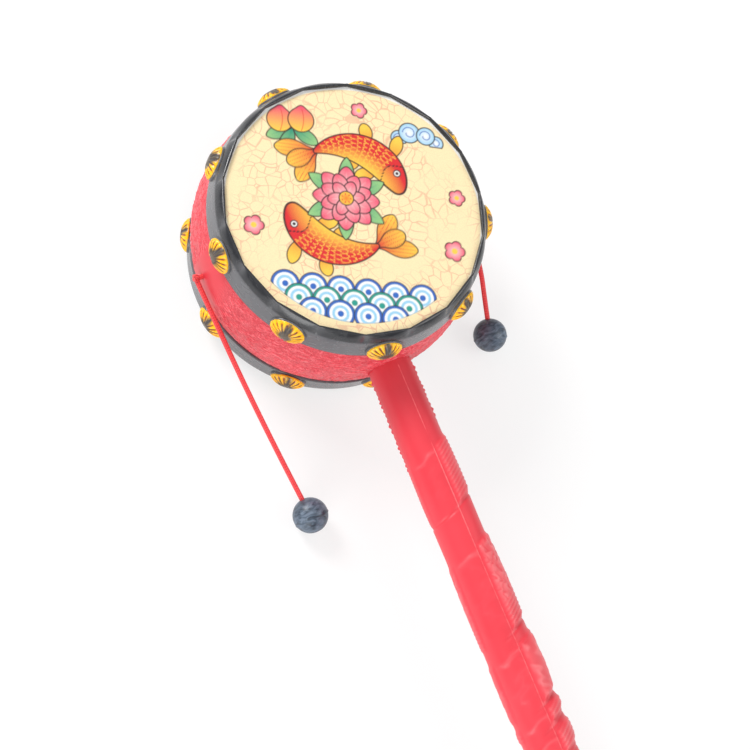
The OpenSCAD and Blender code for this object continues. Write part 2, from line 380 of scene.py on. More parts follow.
def braided_red(tree):
    """Red braid: painted shade between the strands and painted highlight on their crests, with fine yarn
    along them
    """
    base = ramp(tree, layer_value(tree, "weave_and_painted_shade"), (0.0, (0.42, 0.008, 0.014)),
                (0.45, (0.82, 0.026, 0.035)), (1.0, (0.96, 0.11, 0.105)))
    yarn = object_noise(tree, 2400.0, 2.0)
    tint = ramp(tree, yarn, (0.35, 0.8), (0.62, 1.0))
    return dict(Base_Color=blended(tree, 1.0, base, tint, "MULTIPLY"), Roughness=0.55,
                Sheen_Weight=0.25, Normal=bumped(tree, yarn, 0.4, 0.0001))


red_plastic = finished("moulded_red_plastic", moulded_red)
black_plastic = finished("moulded_black_plastic", moulded_black)
gold_paint = finished("worn_gold_paint", worn_gold)
printed_sheet = finished("printed_plastic_sheet", printed_plastic)
pellet_plastic = finished("streaked_pellet_plastic", streaked_pellet)
cord_yarn = finished("braided_red_yarn", braided_red)


# Cords

def cord_path(pivot, fold, sag, end):
    """Even points from the pivot, over the fold, into the pellet, and the length"""
    pocket_depth = 0.0034
    last = end + (end - sag).normalized() * (pellet_radius - pocket_depth)
    middle = sag * 2 - (fold + last) / 2
    rough = [pivot.lerp(fold, i / 40) for i in range(40)]
    for t in np.linspace(0.0, 1.0, 81):
        rough.append(fold * (1 - t) ** 2 + middle * (2 * t * (1 - t)) + last * t ** 2)
    line = np.array([tuple(p) for p in rough])
    for _ in range(60):
        line[1:-1] = 0.5 * line[1:-1] + 0.25 * (line[:-2] + line[2:])
    steps = np.linalg.norm(np.diff(line, axis=0), axis=1)
    along = np.concatenate([[0.0], np.cumsum(steps)])
    count = int(round(along[-1] / cord_step))
    even = np.linspace(0.0, along[-1], count + 1)
    return np.stack([np.interp(even, along, line[:, k]) for k in range(3)], axis=1), along[-1]


def carried_frames(line):
    """Two side directions at each point that don't twist along the line"""
    ahead = unit(np.gradient(line, axis=0))
    side = np.cross(ahead[0], (0.0, 0.0, 1.0))
    side /= np.linalg.norm(side)
    sides = []
    for tangent in ahead:
        side = side - tangent * np.dot(side, tangent)
        side /= np.linalg.norm(side)
        sides.append(side.copy())
    sides = np.array(sides)
    return sides, np.cross(ahead, sides)


def tube_points(line, radius, turn, sides, ups):
    """A loop of points round each point of a line"""
    ring = np.cos(turn)[..., None] * sides[:, None, :] + np.sin(turn)[..., None] * ups[:, None, :]
    return (line[:, None, :] + radius[..., None] * ring).reshape(-1, 3)


def braided_cord(name, line):
    """A braided tube along a line: two crossing sets of four strands raise its surface"""
    turn = full_turn(24)
    along = np.arange(len(line))[:, None] * cord_step
    lay = 2 * math.pi * along / braid_pitch
    weave_and_painted_shade = np.cos(4 * (turn + lay)) * np.cos(4 * (turn - lay))
    points = tube_points(line, cord_radius * (0.97 + 0.055 * weave_and_painted_shade), turn, *carried_frames(line))
    piece = shown_piece(name, points, capped_faces(len(line), turn.size), cord_yarn)
    # The same pattern paints shade between the strands and highlight on their crests
    float_layer(piece, "weave_and_painted_shade", 0.5 + 0.5 * weave_and_painted_shade)
    return outward(piece)


def hard_knot(name, centre, axis):
    """A pulled knot: a closed three-lobed loop of the same yarn"""
    turn = Vector((0, 0, 1)).rotation_difference(Vector(axis).normalized())
    steps = 120
    size = (knot_radius - knot_strand) / 2.9
    line = []
    for i in range(steps):
        t = 2 * math.pi * i / steps
        spot = Vector((math.sin(t) + 2 * math.sin(2 * t), math.cos(t) - 2 * math.cos(2 * t),
                       -1.25 * math.sin(3 * t)))
        line.append(tuple(centre + turn @ (spot * size)))
    line = np.array(line)
    ahead = unit(np.roll(line, -1, axis=0) - np.roll(line, 1, axis=0))
    away = line - np.array(tuple(centre))
    sides = unit(away - ahead * np.sum(away * ahead, axis=1)[:, None])
    spin = full_turn(14)
    twist = np.cos(3 * spin + np.arange(steps)[:, None] * 2 * math.pi * 12 / steps)
    points = tube_points(line, knot_strand * (0.95 + 0.07 * twist), spin, sides, np.cross(ahead, sides))
    piece = shown_piece(name, points, loft_faces(steps, spin.size, closed_along=True), cord_yarn)
    # The same pattern paints shade between the strands and highlight on their crests
    float_layer(piece, "weave_and_painted_shade", 0.5 + 0.5 * twist)
    return outward(piece)


def strung_side(side, pivot, fold, sag, end):
    """One side's cord with its two knots; the knots ride on the side's bodies, the cord is left on none"""
    line, length = cord_path(pivot, fold, sag, end)
    knot_gap = 0.00025
    back = (sag - end).normalized()
    stop = end + back * (knot_radius + knot_gap - pellet_radius)
    end_knot = hard_knot(side + "_stop_knot", stop, back)
    fitted(end_knot, side + "_strike", "red_cord", side + "_end_knot")
    hole_knot = hard_knot(side + "_outer_knot", pivot, (1.0, 0.0, 0.0))
    fitted(hole_knot, side + "_turn", "red_cord", side + "_hole_knot")
    cord = braided_cord(side + "_braided_cord", line)
    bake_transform(cord)
    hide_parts(side + "_cord_lead", side + "_cord_fall")


def inner_run():
    """The cord's straight stretch through the drum, from knot to knot"""
    in_knot = 0.0006
    first = left_pivot.x + in_knot
    last = right_pivot.x - in_knot
    count = int((last - first) / cord_step)
    line = np.zeros((count + 1, 3))
    line[:, 0] = np.linspace(first, last, count + 1)
    line[:, 2] = mid_height
    fitted(braided_cord("inner_braided_cord", line), "drum", "red_cord", "inner_cord")


strung_side("left", left_pivot, left_fold, left_sag, left_end)
strung_side("right", right_pivot, right_fold, right_sag, right_end)
inner_run()


# Barrel

def ripple(angle, across, seed, waves, most):
    """Smooth unevenness in whole waves round a ring, about -1 to 1"""
    chance = np.random.default_rng(seed)
    total = 0.0
    for _ in range(waves):
        turns = int(chance.integers(2, most))
        lean = chance.uniform(-1.0, 1.0) * most / 48.0
        total = total + np.sin(turns * angle + lean * across + chance.uniform(0, 6.28))
    return total / math.sqrt(waves)


def band_radius(height):
    """Outside radius of the barrel's band, an arc between the two hoops"""
    rise = bulge_radius - seat_radius - band_step
    rho = (band_half ** 2 + rise ** 2) / (2 * rise)
    return bulge_radius - rho + np.sqrt(rho ** 2 - (height - mid_height) ** 2)


def band_relief(angle, height):
    """Low moulded relief of the band, 0 to 1: short broken strokes that run round it"""
    across = (height - mid_height) * 1000
    flow = across + 1.3 * np.sin(7 * angle + 1.1) + 0.9 * np.sin(13 * angle - 0.28 * across)
    flow = flow + 0.5 * ripple(angle, across, 5, 6, 40)
    relief = 0.0
    for spacing, seed, most in ((1.75, 11, 60), (1.3, 23, 110)):
        strokes = (0.5 + 0.5 * np.sin(2 * math.pi * flow / spacing + seed)) ** 2.2
        relief = relief + 0.6 * strokes * smooth_step(-0.15, 0.6, ripple(angle, across, seed, 7, most))
    return np.clip(relief, 0, 1)


def smooth_panels(angle):
    """1 on the two plain panels beside the cord holes"""
    degrees = np.degrees(angle)
    left = between(-7, -6, 7, 17, degrees % 360 - 180)
    right = between(-7, -6, 7, 17, (180 - degrees) % 360 - 180)
    return np.clip(left + right, 0, 1)


def swelling_barrel():
    """The red barrel: a ring with its relief, bored for the handle and the cord"""
    rows = 118
    relief_height = 0.0004
    relief_sink = 0.00015
    seat_height = 0.04034
    inner_height = 0.0403
    angle = full_turn(640)
    arc = mid_height + band_half * np.cos(np.linspace(0, math.pi, rows))
    even = np.linspace(mid_height + band_half, mid_height - band_half, rows)
    height = (0.25 * arc + 0.75 * even)[:, None]
    fade = smooth_step(0, 0.0012, band_half - np.abs(height - mid_height))
    rough = (1 - smooth_panels(angle)) * fade
    relief = band_relief(angle, height) * rough
    radius = band_radius(height) + relief_height * relief - relief_sink * rough
    above = ((end_radius, end_height), (seat_radius, seat_height))
    below = ((seat_radius, drum_height - seat_height), (end_radius, drum_height - end_height),
             (end_radius - barrel_wall, drum_height - end_height),
             (seat_radius - barrel_wall, drum_height - inner_height),
             (bulge_radius - barrel_wall, mid_height), (seat_radius - barrel_wall, inner_height),
             (end_radius - barrel_wall, end_height))
    flat = np.ones_like(angle)
    first, last = (np.array(plain)[:, :, None] * flat for plain in (above, below))
    reach = np.concatenate([first[:, 0], radius, last[:, 0]])
    level = np.concatenate([first[:, 1], height * flat, last[:, 1]])
    piece = turned_ring("red_barrel", reach, level, angle, red_plastic)
    plain_rows = ((len(above), len(below)), (0, 0))
    # Painted highlight on the band's raised relief
    float_layer(piece, "painted_highlight_and_shadow", np.pad(relief, plain_rows))
    float_layer(piece, "cast", np.pad(rough, plain_rows))
    outward(piece)
    bores = []
    for name, width, place, way, length in (
            ("bore_handle", neck_radius + 0.0001, (0, -0.042, mid_height), (0, -1, 0), 0.03),
            ("bore_cord", 0.00105, (0, 0, mid_height), (1, 0, 0), 0.12)):
        work = bmesh.new()
        bmesh.ops.create_cone(work, cap_ends=True, segments=72, radius1=width, radius2=width, depth=length)
        spin = Vector((0, 0, 1)).rotation_difference(Vector(way)).to_matrix().to_4x4()
        spin.translation = place
        work.transform(spin)
        cutter_mesh = bpy.data.meshes.new(name)
        work.to_mesh(cutter_mesh)
        work.free()
        cutter = placed(name, cutter_mesh)
        cut = piece.modifiers.new(name, "BOOLEAN")
        cut.operation = "DIFFERENCE"
        cut.solver = "EXACT"
        cut.object = cutter
        bores.append(cutter)
    applied(piece)
    for cutter in bores:
        bpy.data.objects.remove(cutter)
    piece.data.materials.clear()
    piece.data.materials.append(red_plastic)
    piece.data.shade_smooth()
    piece.data.set_sharp_from_angle(angle=math.radians(50))
    fitted(piece, "drum", "red_plastic", "drum_barrel")


# Hoops

def lobed_hoop(end, turn, front):
    """A black hoop: eighteen lobes on its bevel, a plain sloping wall under them"""
    angle = full_turn(720)
    half_lobe = math.pi / 18
    lobe_swell = 0.00042
    cusp_dip = 0.00022
    crest_limit = 0.04367
    off = (angle - turn + half_lobe) % (2 * half_lobe) - half_lobe
    share = np.abs(off) / half_lobe
    lobe = 1 - share ** 2
    cusp = np.exp(-((1 - share) / 0.13) ** 2)
    # Painted glint near each cusp of the bevel
    painted_cusp_glint = np.exp(-((1 - share) / 0.24) ** 2)
    wide = 1 / np.cos(off)
    flat = np.ones_like(angle)
    fuller = 0.0 if front else 0.0005
    rows = []
    for apothem, height in ((window_apothem, 0.05082), (0.04252, 0.0515), (0.04262, 0.05188),
                            (0.04285, drum_height), (0.0431, drum_height)):
        rows.append((apothem * wide, height * flat, flat))
    for u in np.linspace(0.05, 1.0, 12):
        out = (1 - u) * np.minimum(crest_apothem * wide, crest_limit) + u * (shoulder_radius + fuller)
        height = drum_height - (drum_height - shoulder_height - 0.6 * fuller) * u
        swell = lobe_swell * lobe * math.sin(math.pi * u) ** 0.8
        swell = swell - cusp_dip * cusp * math.sin(math.pi * min(1, u * 1.1)) ** 0.5
        # 1 keeps the bevel dark; lower near the cusps for the painted glints, 0 on the wall for its painted
        # reflection
        free_of_painted_reflection = (1 - 0.75 * painted_cusp_glint * (1 - 0.6 * u)) * (1 - smooth_step(0.82, 1.0, u))
        rows.append((out + 0.85 * swell, height * flat + 0.52 * swell, free_of_painted_reflection))
    for out, more, height in ((0.0455, 1.0, 0.0480), (0.04566, 0.85, 0.0470), (0.04594, 0.5, 0.0450),
                              (0.04624, 0.2, 0.0430), (0.04646, 0.0, 0.0413), (hoop_radius, 0.0, 0.0409),
                              (0.04648, 0.0, 0.04055), (0.04632, 0.0, hoop_edge), (0.04508, 0.0, hoop_edge),
                              (0.04356, 0.0, end_height), (0.04356, 0.0, 0.05082)):
        rows.append(((out + more * fuller) * flat, height * flat, 0 * flat))
    reach, level, free_of_painted_reflection = (np.concatenate(values) for values in zip(*rows))
    if not front:
        level = drum_height - level
    piece = turned_ring("lobed_hoop_" + end, reach, level, angle, black_plastic)
    float_layer(piece, "free_of_painted_reflection", free_of_painted_reflection)
    fitted(outward(piece, 60), "drum", "black_plastic", end + "_hoop")


# Studs

def hoop_tree():
    """Copies of one piece round a hoop: a count, a first angle and a finish"""
    tree = bpy.data.node_groups.new("round_the_hoop", "GeometryNodeTree")
    for label, kind in (("Piece", "NodeSocketGeometry"), ("Count", "NodeSocketInt"),
                        ("First angle", "NodeSocketFloat"), ("Finish", "NodeSocketMaterial")):
        tree.interface.new_socket(label, in_out="INPUT", socket_type=kind)
    tree.interface.new_socket("Ring", in_out="OUTPUT", socket_type="NodeSocketGeometry")
    take = node(tree, "NodeGroupInput").outputs
    number = node(tree, "GeometryNodeInputIndex").outputs["Index"]
    step = sums(tree, "DIVIDE", 2 * math.pi, take["Count"])
    place = sums(tree, "MULTIPLY_ADD", number, step, take["First angle"])
    spin = node(tree, "ShaderNodeCombineXYZ", Z=place)
    turn = node(tree, "FunctionNodeEulerToRotation", spin.outputs[0])
    spots = node(tree, "GeometryNodePoints", take["Count"])
    copies = node(tree, "GeometryNodeInstanceOnPoints", Points=spots.outputs[0], Instance=take["Piece"],
                  Rotation=turn.outputs[0])
    real = node(tree, "GeometryNodeRealizeInstances", copies.outputs[0])
    paint = node(tree, "GeometryNodeSetMaterial", Geometry=real.outputs[0], Material=take["Finish"])
    node(tree, "NodeGroupOutput", paint.outputs[0])
    return tree


round_tree = hoop_tree()


def ring_of(piece, turn):
    """Runs the hoop tree on one piece and keeps the result as a plain mesh"""
    wrap = piece.modifiers.new("round_the_hoop", "NODES")
    wrap.node_group = round_tree
    wanted = {"Count": stud_count, "First angle": turn, "Finish": piece.data.materials[0]}
    for item in round_tree.interface.items_tree:
        if item.in_out == "INPUT" and item.name in wanted:
            wrap[item.identifier] = wanted[item.name]
    return applied(piece)


def on_wall(across, up, out, front):
    """Points on a stud's seat at angle 0: along the hoop, up its wall and out from it"""
    reach = stud_seat + out * math.cos(stud_tilt) - up * math.sin(stud_tilt)
    level = stud_height + up * math.cos(stud_tilt) + out * math.sin(stud_tilt)
    spots = np.broadcast_arrays(reach, across, level if front else drum_height - level)
    return np.stack(spots, axis=-1).reshape(-1, 3)


def shell_studs(end, turn, front):
    """Gold studs: an oval dome ribbed like a shell, with a thin edge"""
    ribs = 17
    groove_depth = 0.00036
    edge_rise = 0.00028
    sunk = -0.0002
    spin = full_turn(8 * ribs)
    around = spin.size
    share = np.linspace(0.04, 1.0, 24)[:, None]
    valley = 0.5 - 0.5 * np.cos(ribs * spin)
    cut = groove_depth * between(0.16, 0.5, 0.9, 1.0, share)
    rise = edge_rise + stud_rise * (1 - share ** 2.3) ** 0.8 - cut * valley ** 1.4
    grow = share * (1 - 0.03 * valley * smooth_step(0.8, 1.0, share))
    # Painted shade in the grooves between the ribs
    painted_groove_shade = valley ** 2 * smooth_step(0.2, 0.45, share) * (1 - 0.7 * smooth_step(0.82, 0.94, share))
    centre = np.maximum(1 - share, (1 - 0.35 * share) * (1 - share * np.abs(np.sin(spin)) / 0.66))
    skirt = ((0, 1), (0, 0))
    grow = np.pad(grow, skirt, constant_values=0.985)
    rise = np.pad(rise, skirt, constant_values=sunk)
    up = stud_half_height * grow * np.cos(spin)
    shell = on_wall(stud_half_width * grow * np.sin(spin), up, rise, front)
    top = on_wall(0, 0, edge_rise + stud_rise, front)
    points = np.concatenate([shell, top, on_wall(0, 0, sunk, front)])
    faces = loft_faces(len(grow), around)
    tip = len(shell)
    last = tip - around
    for j in range(around):
        k = (j + 1) % around
        faces += [(tip, j, k), (tip + 1, last + k, last + j)]
    piece = shown_piece("shell_studs_" + end, points, faces, gold_paint)
    float_layer(piece, "painted_groove_shade", np.append(np.pad(painted_groove_shade, skirt), (0.0, 0.0)))
    float_layer(piece, "centre", np.append(np.pad(centre, skirt), (1.0, 0.0)))
    ring_of(outward(piece), turn)
    fitted(piece, "drum", "gold_plastic", end + "_studs")


def stud_seats(end, turn, front):
    """Black oval seats under the studs, rounded at their edge and cut level with the hoop's edge"""
    spin = full_turn(72)
    around = spin.size
    shape = np.array(((1.035, -0.0022), (1.035, -0.0004), (1.03, -0.00018), (1.01, -0.00003),
                      (0.985, 0.0), (0.6, 0.0)))
    grow = shape[:, :1]
    up = np.maximum(stud_half_height * grow * np.cos(spin), -0.0039)
    points = on_wall(stud_half_width * grow * np.sin(spin), up, shape[:, 1:], front)
    last = len(points) - around
    faces = loft_faces(len(shape), around) + [tuple(range(around)), tuple(range(last, last + around))]
    piece = shown_piece("stud_seats_" + end, points, faces, black_plastic)
    ring_of(outward(piece), turn)
    fitted(piece, "drum", "black_plastic")


# Handle

# Stretches of the winding body in millimetres from the drum's axis: start, stop, rise and skin
coil_blocks = ((78, 99.1, 0.55, "ribs"), (112.7, 142.4, 0.8, "scales"), (146.1, 166.7, 0.98, "streaks"),
               (167.7, 173.2, 0.7, "ribs"), (175.2, 183.7, 0.75, "scales"), (187, 200, 0.7, "streaks"),
               (203, 219, 0.75, "scales"))
coil_creases = (99.8, 143.0, 148.2, 167.2, 174.2, 185.4, 201.5)


def handle_radius(along):
    """Plain radius of the handle by its distance from the drum's axis, in metres"""
    places = np.array([0.0, 50, 60, 77, 95, 105, 113, 130, 147, 164, 215, 230]) / 1000
    sizes = np.array([7.3, 7.3, 7.35, 7.5, 7.75, 7.65, 7.6, 7.85, 8.05, 8.05, 8.1, 8.1]) / 1000
    return np.interp(along, places, sizes)


def coil_relief(along, turn, strength, bead_turn, bead_end, plain_to, lean):
    """Moulded relief of one half, in millimetres: side beads, then a scaled body that winds down"""
    bead_pitch = 1.75
    bead_rise = 0.6
    rib_pitch = 1.45
    scale_row = 2.5
    scale_width = 3.1
    place = along * 1000
    side = np.sin(turn)
    degrees = np.degrees(turn)
    leaning = place + lean * side
    warp = 0.8 * np.sin(place * 0.83 + degrees / 19) + 0.5 * np.sin(place * 1.9 - degrees / 8.5 + 1.3)
    clear = between(plain_to - 11, plain_to, 150, 175, degrees)
    low = 1 - smooth_step(plain_to - 34, plain_to - 8, degrees)
    beads = (0.5 + 0.5 * np.cos(2 * math.pi * (place + 0.5 * np.sin(place / 3.1)) / bead_pitch)) ** 1.2
    bead_side = np.exp(-((degrees - bead_turn) / 11.0) ** 4)
    bead_row = bead_side * between(48.7, 49.6, bead_end - 4, bead_end, place)
    group = 0.66 + 0.34 * np.sin(2 * math.pi * place / 7.7 + 3.9)
    total = bead_rise * beads * bead_row * group
    # Where the painted highlight goes: rib crests, folds and the body's swells
    crest_highlight = np.zeros_like(total)
    ribs = (0.5 + 0.5 * np.cos(2 * math.pi * (place + 5.5 * side) / rib_pitch)) ** 1.5
    up = (leaning + warp) / scale_row
    row = np.floor(up)
    out = (degrees / 360 * 50 / scale_width + 0.17 * warp + 0.5 * (row % 2)) % 1.0 - 0.5
    scales = np.clip(1 - np.hypot(out * 1.7, up - row - 0.15) ** 2, 0, 1)
    streaks = (0.5 + 0.5 * np.sin(degrees / 8 + 1.7 * np.sin(place / 3.3) + 1.4 * warp)) ** 3
    for start, stop, rise, kind in coil_blocks:
        inside = strength * clear * between(start, start + 2.2, stop - 1.4, stop, leaning)
        belly = 0.6 + 0.4 * np.sin(math.pi * np.clip((leaning - start) / (stop - start), 0, 1))
        if kind == "ribs":
            skin = 0.24 * ribs
        elif kind == "scales":
            tail = smooth_step(stop - 11, stop - 7, leaning)
            skin = 0.26 * (scales * (1 - tail) + ribs * tail)
        else:
            skin = 0.2 * streaks
        fold = np.exp(-((leaning - start - 2.2 - 0.4 * warp) / 0.75) ** 2) * low
        sway = 0.5 + 0.5 * np.sin(degrees / 11 + 1.3 * np.sin(place / 2.7 + start) + 1.1 * warp)
        body = rise * low * between(start + 2, start + 6, stop - 5, stop - 1, leaning)
        total = total + inside * (rise * belly + skin) + 0.26 * fold + 0.15 * body * sway ** 2
        crest_highlight = crest_highlight + inside * skin / 0.26 + 0.55 * fold + 0.32 * body * sway ** 4
    for crease in coil_creases:
        ends = 160 if lean > 0 or crease < 100 else 34
        reach = 1 - smooth_step(ends - 26, ends, degrees)
        total = total - 0.32 * np.exp(-((leaning - crease) / 0.4) ** 2) * reach
    return total, crest_highlight


def half_handle(side, hand, strengths, **moulding):
    """One half of the red handle, from its flange inside the barrel to its rounded end"""
    seam_width = 0.00016
    flash_height = 0.00007
    half_gap = 0.00002
    end_round = 0.008
    end_start = handle_reach - end_round
    end_turn = np.linspace(0.06, 1.5, 14)
    flange_along = (0.0384, 0.0384, 0.0409, 0.041)
    flange_radius = (0.0094, 0.01, 0.01, neck_radius)
    along = np.concatenate([flange_along, np.linspace(0.0412, end_start, 440),
                            end_start + end_round * np.sin(end_turn)])[:, None]
    plain = handle_radius(along)
    plain[:4, 0] = flange_radius
    plain[-14:, 0] = handle_radius(end_start) * np.cos(end_turn)
    turn = np.linspace(0, math.pi, 97)[None, :]
    fade = between(0.0487, 0.0498, handle_reach - 0.011, handle_reach - 0.006, along)
    upper, lower = strengths
    strength = upper + (lower - upper) * smooth_step(0.1, 0.112, along)
    relief, crest_highlight = coil_relief(along, turn, strength, **moulding)
    relief = relief * fade
    shown = 0.62 - 0.3 * smooth_step(0.1, 0.118, along) + 0.16 * np.sin(along * 900) * np.sin(along * 2300)
    shown = shown * (1 - np.exp(-((along - 0.075) / 0.0034) ** 2))
    seam = np.exp(-(np.minimum(turn, math.pi - turn) * plain / seam_width) ** 2) * shown
    flash = flash_height * seam * fade
    radius = plain + relief / 1000 + flash
    points = np.stack([hand * (radius * np.sin(turn) + half_gap), -along + 0 * turn,
                       mid_height + radius * np.cos(turn)], axis=-1).reshape(-1, 3)
    piece = shown_piece("moulded_half_" + side, points, capped_faces(len(along), turn.size), red_plastic)
    # Painted shadow of the drum on the neck: the colour stays darker near the drum and lifts by 0.2 further
    # out
    deep = 0.2 * smooth_step(0.048, 0.088, along)
    # Painted highlight on relief, crests and the flash line, over the painted shadow near the drum
    float_layer(piece, "painted_highlight_and_shadow", np.clip(deep + 0.25 * relief + 0.3 * crest_highlight + 15000 * flash, 0, 1))
    fitted(outward(piece, 55), "drum", "red_plastic", "handle_" + side)


# Pellets

def strung_pellet(side, end, sag):
    """A blue-black pellet with its parting ridge, bored for the cord and its knot"""
    bore = 0.00105
    pocket = 0.0022
    ridge_level = -0.0012
    turn = Vector((0, 0, 1)).rotation_difference((sag - end).normalized())
    outline = [(pocket, -math.sqrt(pellet_radius ** 2 - pocket ** 2))]
    for lift in np.linspace(-0.92, 0.965, 54):
        level = pellet_radius * math.sin(lift * math.pi / 2)
        reach = math.sqrt(pellet_radius ** 2 - level ** 2)
        ridge = 0.00022 * math.exp(-((level - ridge_level) / 0.0003) ** 2)
        if reach > 0.0013:
            outline.append((reach + ridge, level))
    outline += [(0.0012, pellet_radius * 0.975), (bore, pellet_radius * 0.9), (bore, -0.0012),
                (pocket, -0.0019)]
    reach, level = np.array(outline).T[..., None]
    spin = full_turn(96)
    points = [end + turn @ Vector(spot) for spot in turned_points(reach, level, spin)]
    faces = loft_faces(len(outline), spin.size, closed_along=True)
    piece = shown_piece("ridged_pellet_" + side, points, faces, pellet_plastic)
    fitted(outward(piece, 50), side + "_strike", "blue_plastic", side + "_pellet")


swelling_barrel()
for build in (lobed_hoop, shell_studs, stud_seats):
    build("front", front_turn, True)
    build("rear", rear_turn, False)
half_handle("left", -1, (0.28, 0.5), bead_turn=113, bead_end=84, plain_to=84, lean=-3.0)
half_handle("right", 1, (1.0, 1.0), bead_turn=68, bead_end=72, plain_to=13, lean=4.0)
strung_pellet("left", left_end, left_sag)
strung_pellet("right", right_end, right_sag)


# The printed skins, drawn in millimetres with u to the right and v up

line_ink = (0.035, 0.016, 0.020)
red_ink = (0.66, 0.022, 0.028)
orange_ink = (0.84, 0.20, 0.025)
gold_ink = (0.90, 0.56, 0.07)
rose_ink = (0.78, 0.075, 0.15)
blush_ink = (0.90, 0.60, 0.58)
leaf_ink = (0.02, 0.26, 0.16)
lime_ink = (0.30, 0.56, 0.22)
blue_ink = (0.03, 0.13, 0.48)
teal_ink = (0.02, 0.30, 0.24)
sky_ink = (0.30, 0.58, 0.78)
paper_white = (0.86, 0.85, 0.83)
cream = (0.88, 0.72, 0.43)


def soft_edge(distance):
    """Cover from 1 inside an outline to 0 outside, over a third of a millimetre"""
    return np.clip(0.5 - distance / 0.33, 0.0, 1.0)


def graded(factor, first, last):
    """A colour at each point between two inks"""
    share = np.clip(factor, 0.0, 1.0)[:, None]
    return np.asarray(first) * (1 - share) + np.asarray(last) * share


def lay(plate, cover, colour):
    """Lays an ink over what is printed already"""
    plate["ink"] += cover[:, None] * (np.asarray(colour) - plate["ink"])


def outlined(plate, distance, colour, width=0.2):
    """An area of ink with a dark line round it"""
    lay(plate, soft_edge(distance), colour)
    lay(plate, soft_edge(np.abs(distance) - width), line_ink)


def from_spot(plate, spot):
    """Distance and angle of every point from a spot"""
    across = plate["u"] - spot[0]
    up = plate["v"] - spot[1]
    return np.hypot(across, up), np.arctan2(up, across)


def polar(centre, radius, degrees):
    """Points at a distance and an angle from a centre, of which one may be a row of numbers"""
    turn = np.radians(degrees)
    return np.stack([centre[0] + radius * np.cos(turn), centre[1] + radius * np.sin(turn)], axis=-1)


def brush_stroke(plate, path, half):
    """Distance outside a stroke of changing width, with the place along it and the offset to its left"""
    across = plate["u"][:, None] - path[None, :, 0]
    up = plate["v"][:, None] - path[None, :, 1]
    outside = np.hypot(across, up) - half[None, :]
    near = np.argmin(outside, axis=1)
    rows = np.arange(len(near))
    ahead = unit(np.gradient(path, axis=0))
    left = ahead[near, 0] * up[rows, near] - ahead[near, 1] * across[rows, near]
    return outside[rows, near], near / (len(path) - 1), left


def pointed_petal(plate, root, angle, length, half, inner, outer):
    """A pointed petal or leaf with its middle line, graded from root to tip"""
    run = np.linspace(0.0, 1.0, 22)
    width = half * np.sin(math.pi * run ** 1.15) ** 0.85
    distance, place, left = brush_stroke(plate, polar(root, length * run, angle), width)
    outlined(plate, distance, graded(place * 1.15 - 0.1, inner, outer))
    middle = np.maximum(np.abs(left) - 0.12, np.maximum(distance + 0.5, place - 0.7))
    lay(plate, 0.55 * soft_edge(middle), inner)


def lotus(plate, centre):
    """An open lotus from above, three rings of petals round a gold seed head"""
    head = 2.4
    for k in range(6):
        pointed_petal(plate, centre, 30 + 60 * k, 14.5, 2.6, leaf_ink, lime_ink)
    for count, length, half, start in ((8, 11.0, 3.0, 0.0), (8, 8.6, 2.6, 22.5), (6, 6.0, 2.1, 10.0)):
        for k in range(count):
            pointed_petal(plate, centre, start + 360.0 * k / count, length, half, blush_ink, rose_ink)
    rho, theta = from_spot(plate, centre)
    outlined(plate, rho - head, graded(rho / head, orange_ink, gold_ink))
    seeds = np.hypot(rho - 1.45, 0.75 * np.sin(3.5 * theta)) - 0.32
    lay(plate, soft_edge(np.where(rho < head - 0.1, seeds, 1.0)), red_ink)


def circling_fish(plate, centre, nose):
    """A red and gold fish bent round a centre, its nose at an angle in degrees"""
    bend = 18.5
    sweep = 104
    share = np.linspace(0.0, 1.0, 72)
    body = polar(centre, bend, nose + sweep * share)
    half = 5.4 * np.sin(math.pi * np.clip(share * 0.93 + 0.05, 0, 1) ** 0.72) ** 0.8 + 0.35
    run = np.linspace(0.0, 1.0, 24)
    width = 0.8 + 2.3 * np.sin(math.pi * run ** 1.6 * 0.92) ** 1.2
    for swing, length in ((-34, 12.5), (30, 11.5), (-4, 9.5)):
        path = polar(body[-1], length * run, nose + sweep + 90 + swing)
        distance, place, left = brush_stroke(plate, path, width)
        outlined(plate, distance, graded(place, red_ink, gold_ink))
        rays = np.abs(np.sin(left * 2.6)) - 0.22
        lay(plate, 0.7 * soft_edge(np.maximum(rays, distance + 0.4)), red_ink)
    run = np.linspace(0.0, 1.0, 18)
    width = 0.5 + 1.7 * np.sin(math.pi * run ** 1.4 * 0.9)
    for start, swing, length in ((26, -62, 8.0), (26, 62, 7.0), (50, -52, 6.0), (54, 50, 4.6)):
        root = polar(centre, bend - math.copysign(3.6, swing), nose + start)
        path = polar(root, length * run, nose + start + 90 + swing)
        distance, place, _ = brush_stroke(plate, path, width)
        outlined(plate, distance, graded(place * 1.2, orange_ink, gold_ink))
    distance, place, left = brush_stroke(plate, body, half)
    outlined(plate, distance, graded(0.88 - left / 6.2, gold_ink, red_ink), 0.24)
    column = place * 17.0
    row = left / 1.55 + 0.5 * (np.floor(column) % 2)
    cell = np.hypot(column - np.floor(column) - 0.15, (row - np.floor(row) - 0.5) * 1.15)
    scale_line = np.where((place > 0.24) & (place < 0.93), np.abs(cell - 0.55) - 0.09, 1.0)
    lay(plate, 0.75 * soft_edge(np.maximum(scale_line * 2.0, distance + 0.5)), gold_ink)
    face = np.maximum(distance + 0.3, (place - 0.2 - 0.03 * np.cos(left * 0.5)) * 34.0)
    outlined(plate, face, graded(0.7 - left / 8.0, gold_ink, red_ink), 0.16)
    rho = from_spot(plate, polar(centre, bend + 1.8, nose + 13))[0]
    outlined(plate, rho - 1.15, paper_white)
    lay(plate, soft_edge(rho - 0.55), line_ink)


